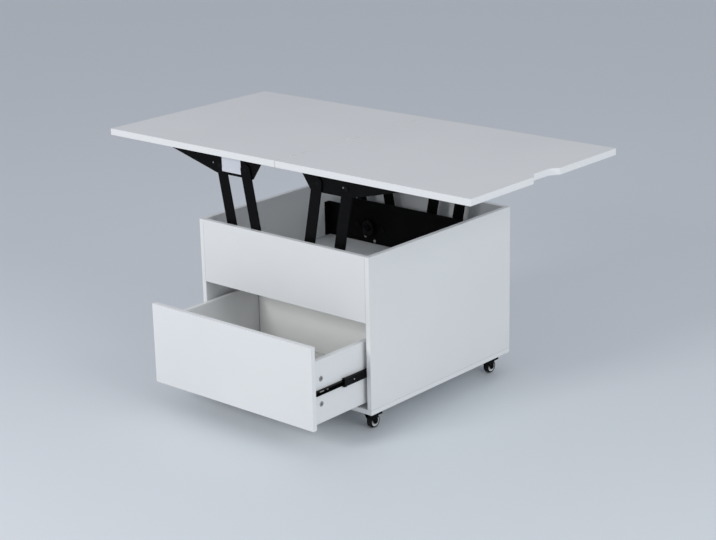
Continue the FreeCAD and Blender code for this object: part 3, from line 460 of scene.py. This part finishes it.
def pan_head(seat, outward, radius, height, shank_share=0.45, sink=0.0):
    """Rings from the shank over the rim and dome into the recess; the recess rings follow a cross outline.

    The shank's radius is a share of the head's, and sink lowers the recess floor below the usual.
    """
    folded = np.abs((cross_turn + math.pi / 4) % (math.pi / 2) - math.pi / 4)
    arm, half_arm, least_sine = cross_reach * radius, cross_half_width * radius, 1e-6
    cross = np.minimum(arm / np.cos(folded), half_arm / np.maximum(np.sin(folded), least_sine))
    rim = radius * np.ones_like(cross)
    stem, pole = shank_share * rim, 0.0 * rim
    rings = [(pole, -shank_length), (stem, -shank_length), (stem, 0.0), (rim, 0.0), (rim, rim_rise * height)]
    rings += [(share * rim, rise * height) for share, rise in dome_rings]
    rings += [(lip_spread * cross, height), (cross, lip_rise * height),
              (recess_taper * cross, recess_rise * height - sink), (pole, recess_floor * height - sink)]
    reach = np.stack([ring[0] for ring in rings])
    rise = np.array([ring[1] for ring in rings])
    unit = turned_grid((0, 0, 0), outward, np.ones((len(rings), 2)) * (1, 0), cross_turn)
    return np.asarray(seat) + reach[:, :, None] * unit + rise[:, None, None] * np.asarray(outward, float)


def screws(name, seats, radius, height, body, material, replaced=None, **details):
    """One piece of like screws, each seat given as (place, outward direction)."""
    heads = [pan_head(place, outward, radius, height, **details) for place, outward in seats]
    piece = add_piece(name, heads, material, body, sharp_degrees=28.0)
    if replaced:
        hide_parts(replaced)


plate_sheet, plate_half_width, plate_half_depth, screw_edge = 0.003, 0.035, 0.020, 0.008
caster_screw_radius, caster_screw_height = 0.004, 0.0018
plate_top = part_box("caster_plates")[1].z
trail = 0.016
caster_seats = []
for name in caster_names:
    low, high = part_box(name + "_caster_wheel")
    for x_sign in (-1, 1):
        for y_sign in (-1, 1):
            place = ((low.x + high.x) / 2 + x_sign * (plate_half_width - screw_edge),
                     (low.y + high.y) / 2 - trail + y_sign * (plate_half_depth - screw_edge),
                     plate_top - plate_sheet)
            caster_seats.append((place, (0, 0, -1)))
screws("caster_pan_heads", caster_seats, caster_screw_radius, caster_screw_height, "cabinet", zinc,
       "caster_screws")


# Drawer slides: three nested steel channels on each side, black from an electrocoat bath.
# A plated rivet and a moulded bumper mark the front of each middle channel, and a plated pan-head screw
# holds each inner channel to the drawer.
slide_rivet_setback, slide_rivet_radius, slide_sheet = 0.042, 0.0026, 0.0012
rivet_face_share, rivet_face_rise, rivet_edge_rise = 0.8, 0.95, 0.7
rivet_foot_share, rivet_foot_sunk = 1.5, 0.0004
middle_half_height = 0.0115
cap_length, cap_margin, cap_corner, cap_lip = 0.034, 0.0004, 0.002, 0.00012
pad_length, pad_reach_share, pad_corner, pad_lip = 0.010, 0.46, 0.0007, 0.0003
cap_proud, pad_proud, bumper_sunk = 0.0003, 0.0016, 0.0002
slide_screw_setback, slide_screw_radius, slide_screw_height = 0.052, 0.0036, 0.0014


def rounded_profile(corners, radii):
    """Closed profile of straight legs with every corner blended by its radius."""
    count = len(corners)
    arcs = [round_corner(corners[i - 1], corners[i], corners[(i + 1) % count], radii[i])
            for i in range(count)]
    return np.concatenate(arcs)


def rounded_block(centre, half_size, corner, lip):
    """Block with an upright rounded-rectangle outline in Y and Z, lofted along X between softened end faces.

    Each ring is the outline drawn in by lip on the end faces, and poles close the two ends.
    """
    half_x, half_y, half_z = half_size
    corners = [(half_y, half_z), (-half_y, half_z), (-half_y, -half_z), (half_y, -half_z)]
    outline = rounded_profile(corners, [corner] * 4)
    drawn_in = outline * (1 - lip / half_y, 1 - lip / half_z)
    rings = [(0 * outline, -half_x), (drawn_in, -half_x), (outline, lip - half_x), (outline, half_x - lip),
             (drawn_in, half_x), (0 * outline, half_x)]
    return np.asarray(centre) + np.stack([np.insert(ring, 0, x, axis=1) for ring, x in rings])


slide_coat = coated_steel("slide_electrocoat", (0.0022, 0.0022, 0.0026, 1), (0.03, 0.03, 0.032, 1),
                          roughness=0.38, grain_scale=1500.0)
black_plastic = moulded("black_bumper_plastic", (0.004, 0.004, 0.0045, 1), (0.006, 0.006, 0.0065, 1),
                        roughness=0.5, grain_scale=900.0, specular=0.1)
dress(slide_coat, *(side + "_slide_" + part for side in ("left", "right")
                    for part in ("outer", "middle", "inner")))
slide_screw_seats = []
for side_name, side in (("left", -1), ("right", 1)):
    low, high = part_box(side_name + "_slide_middle")
    web_face = high.x if side > 0 else low.x
    slide_height = (low.z + high.z) / 2
    seat = (web_face - side * slide_sheet, low.y + slide_rivet_setback, slide_height)
    plug = [(0.0, rivet_face_rise * slide_sheet),
            (rivet_face_share * slide_rivet_radius, rivet_face_rise * slide_sheet),
            (slide_rivet_radius, rivet_edge_rise * slide_sheet),
            (rivet_foot_share * slide_rivet_radius, -rivet_foot_sunk), (0.0, -rivet_foot_sunk)]
    grid = turned_grid(seat, (side, 0, 0), plug, rivet_turn)
    add_piece(side_name + "_slide_rivet", [grid], zinc, "slide_middles")
    cap_middle = (web_face + side * (cap_proud - bumper_sunk) / 2, low.y + cap_length / 2, slide_height)
    cap_half = ((cap_proud + bumper_sunk) / 2, cap_length / 2, middle_half_height - cap_margin)
    bumper = [rounded_block(cap_middle, cap_half, cap_corner, cap_lip)]
    pad_half = (pad_reach_share * (high.x - low.x), pad_length / 2, (pad_proud + bumper_sunk) / 2)
    for up in (-1, 1):
        pad_rise = up * (middle_half_height + (pad_proud - bumper_sunk) / 2)
        pad_middle = ((low.x + high.x) / 2, low.y + pad_length / 2, slide_height + pad_rise)
        bumper.append(rounded_block(pad_middle, pad_half, pad_corner, pad_lip))
    add_piece(side_name + "_slide_bumper", bumper, black_plastic, "slide_middles")
    low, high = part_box(side_name + "_slide_inner")
    web_face = low.x if side > 0 else high.x
    seat = (web_face + side * slide_sheet, low.y + slide_screw_setback, slide_height)
    slide_screw_seats.append((seat, (side, 0, 0)))
screws("slide_pan_heads", slide_screw_seats, slide_screw_radius, slide_screw_height, "drawer", zinc)


# Drawer: a banded front board, box sides and back of the same white board, and a thin hardboard bottom
# let into grooves. Cam locks, plated zinc castings, draw the front against the sides.
# The drawer back is the same white board in a lighter tone: painted light, standing in for light the lamps
# don't bring into the drawer.
drawer_back_painted_light_tones = ((0.86, 0.866, 0.845, 1), (0.885, 0.89, 0.87, 1))
hardboard_tones = ((0.83, 0.83, 0.80, 1), (0.86, 0.86, 0.83, 1))
cam_radius, cam_proud, cam_sink, cam_shank_share = 0.008, 0.0005, 0.0022, 0.8
cam_setback, cam_offset_share = 0.032, 0.2


def hardboard_finish():
    """White lacquered hardboard: a little warmer than the melamine, with pressed fibres."""
    fibre_scale, drift_scale = 420.0, 6.0
    fibre_strength, fibre_depth = 0.2, 0.0003
    smoothest, roughest = 0.5, 0.62
    material, tree, shader = new_finish("white_hardboard")
    skin = use_group(tree, relief, {"Grain Scale": fibre_scale, "Drift Scale": drift_scale})
    tone = mix_colours(tree, skin.outputs["Drift"], *hardboard_tones)
    tree.links.new(tone, shader.inputs["Base Color"])
    gloss = rescale(tree, skin.outputs["Height"], noise_low, noise_high, smoothest, roughest)
    tree.links.new(gloss, shader.inputs["Roughness"])
    add_bump(tree, shader, {"Strength": fibre_strength, "Distance": fibre_depth,
                            "Height": skin.outputs["Height"]})
    return material


dress(board_across_x, "drawer_left_side", "drawer_right_side")
dress(board_across_y, "drawer_front")
# Painted light: the drawer back gets the lighter tones.
dress(board_finish("white_board_drawer_back_painted_light", (0.0, 1.0, 0.0), drawer_back_painted_light_tones), "drawer_back")
dress(hardboard_finish(), "drawer_bottom")
cam_zinc = bare_metal("cast_zinc", (0.50, 0.50, 0.50, 1), roughness=0.42, streaks=(300.0, 300.0, 300.0))
cam_seats = []
for side_name, side in (("left", -1), ("right", 1)):
    low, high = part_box("drawer_" + side_name + "_side")
    for offset_share in (-cam_offset_share, cam_offset_share):
        place = (high.x if side > 0 else low.x, low.y + cam_setback,
                 (low.z + high.z) / 2 + offset_share * (high.z - low.z))
        cam_seats.append((place, (side, 0, 0)))
screws("drawer_cam_discs", cam_seats, cam_radius, cam_proud, "drawer", cam_zinc, "drawer_cam_locks",
       shank_share=cam_shank_share, sink=cam_sink)


# Lift base: two bent steel plates across the storage box, black powder coated, with black screws into
# the side boards, bright anchor bolts, blackened pivot pins and cups that hold flat spiral springs.
# Greased steel gears behind the front plate keep both sides in step.
base_sheet, flange_length = 0.003, 0.020
end_screw_lifts, end_screw_radius, end_screw_height = (0.028, 0.083), 0.0045, 0.0025
anchor_places, anchor_radius, anchor_height = ((0.01737, -0.03199), (-0.02061, -0.04302)), 0.005, 0.003
lift_middle, pivot_lift = -0.0146, 0.052
cup_reaches = {"front": 0.185, "rear": 0.131}
cup_radius, cup_depth, cup_wall, boss_radius, boss_height = 0.028, 0.014, 0.0015, 0.010, 0.003
cup_rounds = [0.0, 0.001, 0.0006, 0.0006, 0.0008, 0.0006, 0.0012, 0.0]
cup_turn = tyre_turn[::2]
spring_turns, spring_strip, spring_steps = 6.0, 0.0009, 240
spring_width_share, spring_spare_strips = 0.86, 3


def spring_cup(middle, inward):
    """Shell turned round the pivot: flat back, rim, hollow floor and a raised boss with rounded edges."""
    corners = [(0.0, 0.0), (cup_radius, 0.0), (cup_radius, cup_depth), (cup_radius - cup_wall, cup_depth),
               (cup_radius - cup_wall, cup_wall), (boss_radius, cup_wall),
               (boss_radius, cup_depth + boss_height), (0.0, cup_depth + boss_height)]
    return turned_grid(middle, (0, inward, 0), rounded_profile(corners, cup_rounds), cup_turn)


def spiral_spring(middle, inward):
    """Flat strip whose radius grows evenly with the turn from boss to rim.

    Its section is a thin upright rectangle, and each end closes on its own middle.
    """
    t = np.linspace(0.0, 1.0, spring_steps)
    winding = 2 * math.pi * spring_turns * t
    room = cup_radius - cup_wall - boss_radius - spring_spare_strips * spring_strip
    reach = boss_radius + spring_strip + room * t
    ring = np.stack([np.cos(winding), 0 * t, np.sin(winding)], axis=1)
    strip_top = spring_width_share * cup_depth
    section = ((0.0, cup_wall), (1.0, cup_wall), (1.0, strip_top), (0.0, strip_top))
    strip = np.stack([(reach + share * spring_strip)[:, None] * ring + (0, inward * height, 0)
                      for share, height in section], axis=1)
    ends = [np.repeat(strip[i].mean(axis=0)[None, None], len(section), axis=1) for i in (0, -1)]
    return np.asarray(middle) + np.concatenate([ends[0], strip, ends[1]])


spring_steel = bare_metal("blued_spring_steel", (0.05, 0.051, 0.056, 1), roughness=0.38,
                          streaks=(200.0, 900.0, 200.0))
gear_steel = bare_metal("greased_gear_steel", (0.30, 0.29, 0.275, 1), roughness=0.28,
                        streaks=(700.0, 40.0, 700.0))
dress(black_steel, "front_base_plate", "rear_base_plate")
dress(black_oxide, "base_pivot_pins", "base_pivot_sleeves")
dress(gear_steel, "left_pinion_shaft", "right_pinion_shaft", "left_idler_gear", "right_idler_gear")
end_seats, anchor_seats, cups, springs = [], [], [], []
for end, inward in (("front", 1), ("rear", -1)):
    low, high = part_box(end + "_base_plate")
    face = low.y + base_sheet if inward > 0 else high.y - base_sheet
    for side in (-1, 1):
        for lift in end_screw_lifts:
            place = (side * (high.x - base_sheet), face + inward * flange_length / 2, low.z + lift)
            end_seats.append((place, (-side, 0, 0)))
        middle = (lift_middle + side * cup_reaches[end], face, low.z + pivot_lift)
        cups.append(spring_cup(middle, inward))
        springs.append(spiral_spring(middle, inward))
        for outwards, rise in anchor_places:
            anchor_seats.append(((middle[0] + side * outwards, face, middle[2] + rise), (0, inward, 0)))
screws("plate_end_screws", end_seats, end_screw_radius, end_screw_height, "cabinet", black_oxide)
screws("plate_anchor_bolts", anchor_seats, anchor_radius, anchor_height, "cabinet", zinc, "base_screws")
cup_piece = add_piece("spring_cup_shells", cups, black_steel, "cabinet")
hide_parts("spring_cups")
add_piece("spring_coils", springs, spring_steel, "cabinet")


# Lift arms: round-ended flat bars of black coated steel, two on each side at the front and at the rear,
# turning on blackened pins whose ends are flush or riveted over.
dress(black_steel, *("_".join((end, side, which, "arm")) for end in ("front", "rear")
                     for side in ("left", "right") for which in ("inner", "outer")))
dress(black_oxide, "left_top_pivot_pins", "right_top_pivot_pins")


# Brackets: bent sheet under each leaf. The left pair is screwed to the left leaf; the right pair, joined
# by cross rails, is a frame with rubber pads on which the folding leaf comes to lie. Each web has one
# dull zinc rivet, and a blank paper sticker is left on the front left web.
bracket_sheet, bracket_screw_shares = 0.003, (0.107, 0.311, 0.566, 0.821)
bracket_screw_radius, bracket_screw_height = 0.0045, 0.0025
web_rivet_places, web_rivet_drop = {"left": -0.286, "right": 0.217}, 0.034
web_rivet_radius, web_rivet_height = 0.0032, 0.0016
sticker_middle, sticker_half_size = (-0.2108, 0.7090), (0.0389, 0.0230)
sticker_thickness, sticker_corner = 0.0002, 0.002

pad_rubber = moulded("pad_rubber", (0.03, 0.03, 0.031, 1), (0.045, 0.045, 0.046, 1),
                     roughness=0.7, grain_scale=900.0)
sticker_paper = moulded("sticker_paper", (0.63, 0.65, 0.70, 1), (0.67, 0.69, 0.74, 1),
                        roughness=0.6, grain_scale=1200.0)
dull_zinc = bare_metal("dulled_zinc", (0.26, 0.26, 0.26, 1), roughness=0.55, streaks=(300.0, 300.0, 300.0))
dress(black_steel, "front_left_bracket", "rear_left_bracket", "front_right_bracket", "rear_right_bracket",
      "support_rails")
dress(pad_rubber, "support_pads")

bracket_seats = []
for side_name, body in (("left", "left_top"), ("right", "right_support")):
    web_rivets = []
    for end, outward in (("front", -1), ("rear", 1)):
        low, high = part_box(end + "_" + side_name + "_bracket")
        web_face, flange_end = (low.y, high.y) if outward < 0 else (high.y, low.y)
        seat = (web_rivet_places[side_name], web_face, high.z - web_rivet_drop)
        web_rivets.append(domed_rivet(seat, (0, outward, 0), web_rivet_radius, web_rivet_height,
                                      bracket_sheet))
        if side_name == "left":
            row_depth = (web_face - outward * bracket_sheet + flange_end) / 2
            bracket_seats += [((high.x + share * (low.x - high.x), row_depth, high.z - bracket_sheet),
                               (0, 0, -1)) for share in bracket_screw_shares]
    add_piece(side_name + "_bracket_rivets", web_rivets, dull_zinc, body)
screws("left_bracket_pan_heads", bracket_seats, bracket_screw_radius, bracket_screw_height, "left_top", zinc,
       "left_bracket_screws")


def paper_sheet(face):
    """Thin sheet on an upright face in X and Z.

    Rings of its rounded outline, each shrunk to a pole on the two sides.
    """
    corner_share = sticker_corner / sticker_half_size[0]
    outline = rounded_profile([(1, 1), (-1, 1), (-1, -1), (1, -1)], [corner_share] * 4)
    rings = [(0.0, 0.0), (1.0, 0.0), (1.0, -sticker_thickness), (0.0, -sticker_thickness)]
    return np.stack([np.stack([sticker_middle[0] + share * sticker_half_size[0] * outline[:, 0],
                               face + depth + 0 * outline[:, 0],
                               sticker_middle[1] + share * sticker_half_size[1] * outline[:, 1]], axis=1)
                     for share, depth in rings])


sticker = paper_sheet(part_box("front_left_bracket")[0].y)
add_piece("blank_sticker", [sticker], sticker_paper, "left_top")


# Top: two leaves of the same white board with banded edges, one fixed and one that folds over it.
# Three small steel hinges join them, let into their edges at the seam and coated white.
# The leaves take a lighter tone for their band hairline and for the painted shade in their seam and joints.
leaf_seam_and_shade_tone = (0.66, 0.66, 0.65, 1)
hinge_coat = moulded("white_hinge_coat", (0.735, 0.745, 0.75, 1), (0.77, 0.78, 0.783, 1),
                     roughness=0.5, grain_scale=1500.0, specular=0.2)
dress(board_finish("white_board_leaves", (0.0, 0.0, 1.0), joint_and_shade_tone=leaf_seam_and_shade_tone), "left_leaf", "right_leaf")
dress(hinge_coat, "left_hinge_leaves", "right_hinge_leaves", "hinge_pins")


# Stage: a plain pale floor that runs on to the horizon, soft daylight from all round and two large
# softboxes, one before the drawer and one beside the right-hand panel.
floor_tone, floor_roughness = (0.765, 0.805, 0.84, 1), 0.55
floor_reaches, floor_turns = np.array((0.0001, 1.0, 4.0, 12.0, 40.0, 120.0)), 64
air_tone, air_strength = (0.89, 0.92, 1.0, 1), 0.515
lamp_aim = Vector((0.0, 0.0, 0.45))


def stage_floor():
    """Level disc under the table: rings of growing reach, each turned once round the middle."""
    turn = np.linspace(0.0, 2 * math.pi, floor_turns, endpoint=False)
    reach = floor_reaches[:, None]
    grid = np.stack([reach * np.cos(turn), reach * np.sin(turn), 0 * reach * turn], axis=2)
    mesh = bpy.data.meshes.new("floor")
    faces = grid_faces(len(floor_reaches), floor_turns, False)
    mesh.from_pydata(grid.reshape(-1, 3).tolist(), [], faces.tolist())
    material, _, shader = new_finish("pale_floor")
    shader.inputs["Base Color"].default_value = floor_tone
    shader.inputs["Roughness"].default_value = floor_roughness
    mesh.materials.append(material)
    floor = bpy.data.objects.new("floor", mesh)
    bpy.context.scene.collection.objects.link(floor)


def softbox(name, azimuth, elevation, distance, size, watts, colour):
    """Large square area lamp that looks at the middle of the table."""
    a, e = math.radians(azimuth), math.radians(elevation)
    back = Vector((math.sin(a) * math.cos(e), -math.cos(a) * math.cos(e), math.sin(e)))
    data = bpy.data.lights.new(name, "AREA")
    data.shape, data.size, data.energy, data.color = "SQUARE", size, watts, colour
    lamp = bpy.data.objects.new(name, data)
    lamp.location = lamp_aim + back * distance
    lamp.rotation_mode = "QUATERNION"
    lamp.rotation_quaternion = back.to_track_quat("Z", "Y")
    bpy.context.scene.collection.objects.link(lamp)


stage_floor()
world = bpy.data.worlds.new("studio_air")
world.use_nodes = True
bpy.context.scene.world = world
world.node_tree.nodes["Background"].inputs["Color"].default_value = air_tone
world.node_tree.nodes["Background"].inputs["Strength"].default_value = air_strength
softbox("front_softbox", azimuth=-12.0, elevation=22.0, distance=4.6, size=1.2, watts=70.0,
        colour=(1.0, 1.0, 1.0))
softbox("side_softbox", azimuth=82.0, elevation=20.0, distance=4.6, size=2.4, watts=54.0,
        colour=(0.96, 1.0, 0.985))


# Camera: where the table was seen from, above its top and well to the right of the drawer.
# Its place, turn and lens were fitted to the straight edges of the boards.
camera_place = Vector((3.3325, -3.7994, 1.9491))
camera_yaw, camera_dip, camera_roll = (math.radians(angle) for angle in (41.217, 17.592, -1.265))
camera_sensor, camera_lens = 36.0, 87.08
forward = Vector((-math.sin(camera_yaw) * math.cos(camera_dip), math.cos(camera_yaw) * math.cos(camera_dip),
                  -math.sin(camera_dip)))
level = Vector((math.cos(camera_yaw), math.sin(camera_yaw), 0.0))
upright = level.cross(forward)
rolled_level = math.cos(camera_roll) * level + math.sin(camera_roll) * upright
rolled_upright = math.cos(camera_roll) * upright - math.sin(camera_roll) * level
camera_data = bpy.data.cameras.new("camera")
camera_data.sensor_fit, camera_data.sensor_width = "HORIZONTAL", camera_sensor
camera_data.lens = camera_lens
camera = bpy.data.objects.new("camera", camera_data)
bpy.context.scene.collection.objects.link(camera)
camera_turn = Matrix((rolled_level, rolled_upright, -forward)).transposed()
camera.matrix_world = Matrix.Translation(camera_place) @ camera_turn.to_4x4()
bpy.context.scene.camera = camera
bpy.context.scene.view_settings.view_transform = "Standard"
